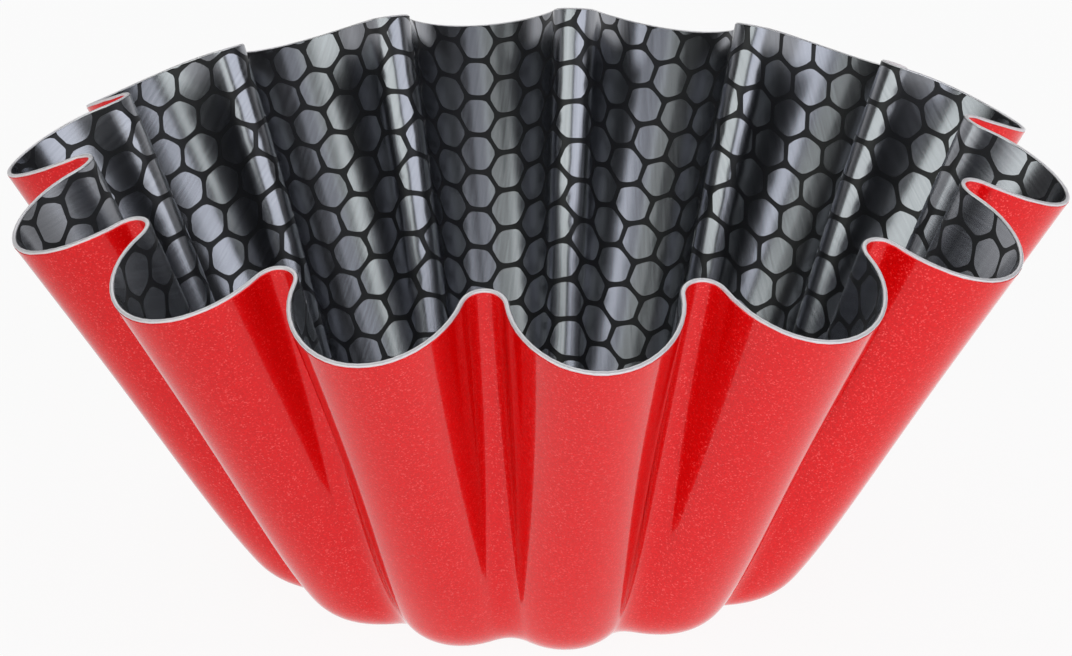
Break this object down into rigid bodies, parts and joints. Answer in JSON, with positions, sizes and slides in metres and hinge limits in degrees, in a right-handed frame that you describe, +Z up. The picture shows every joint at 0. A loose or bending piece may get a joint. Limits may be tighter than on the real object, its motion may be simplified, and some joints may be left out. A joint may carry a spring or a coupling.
{
  "type": "cake mould",
  "caption": "Round fluted cake mould pressed from sheet aluminium, flaring from a flat scalloped base to a wavy rim, red lacquer outside and dark honeycomb non-stick inside.",
  "frame": {"origin": "middle of the base's underside, on the surface that the mould stands on", "axes": "+Z up along the mould's axis towards its open rim, +X through the middle of a lobe, +Y through a fold"},
  "size_m": [0.2198, 0.2148, 0.0926],
  "materials": {
    "bare_aluminium": "bare cut edge of the sheet, pale and satin",
    "red_lacquer": "glossy red lacquer with fine metallic fleck under a clear top",
    "honeycomb_nonstick": "near-black non-stick with satin grey hexagon cells, finely brushed"
  },
  "bodies": {
    "root": {"pressed_aluminium_sheet": "bare_aluminium", "red_wall_lacquer": "red_lacquer", "red_base_lacquer": "red_lacquer", "nonstick_lining": "honeycomb_nonstick"}
  },
  "joints": []
}
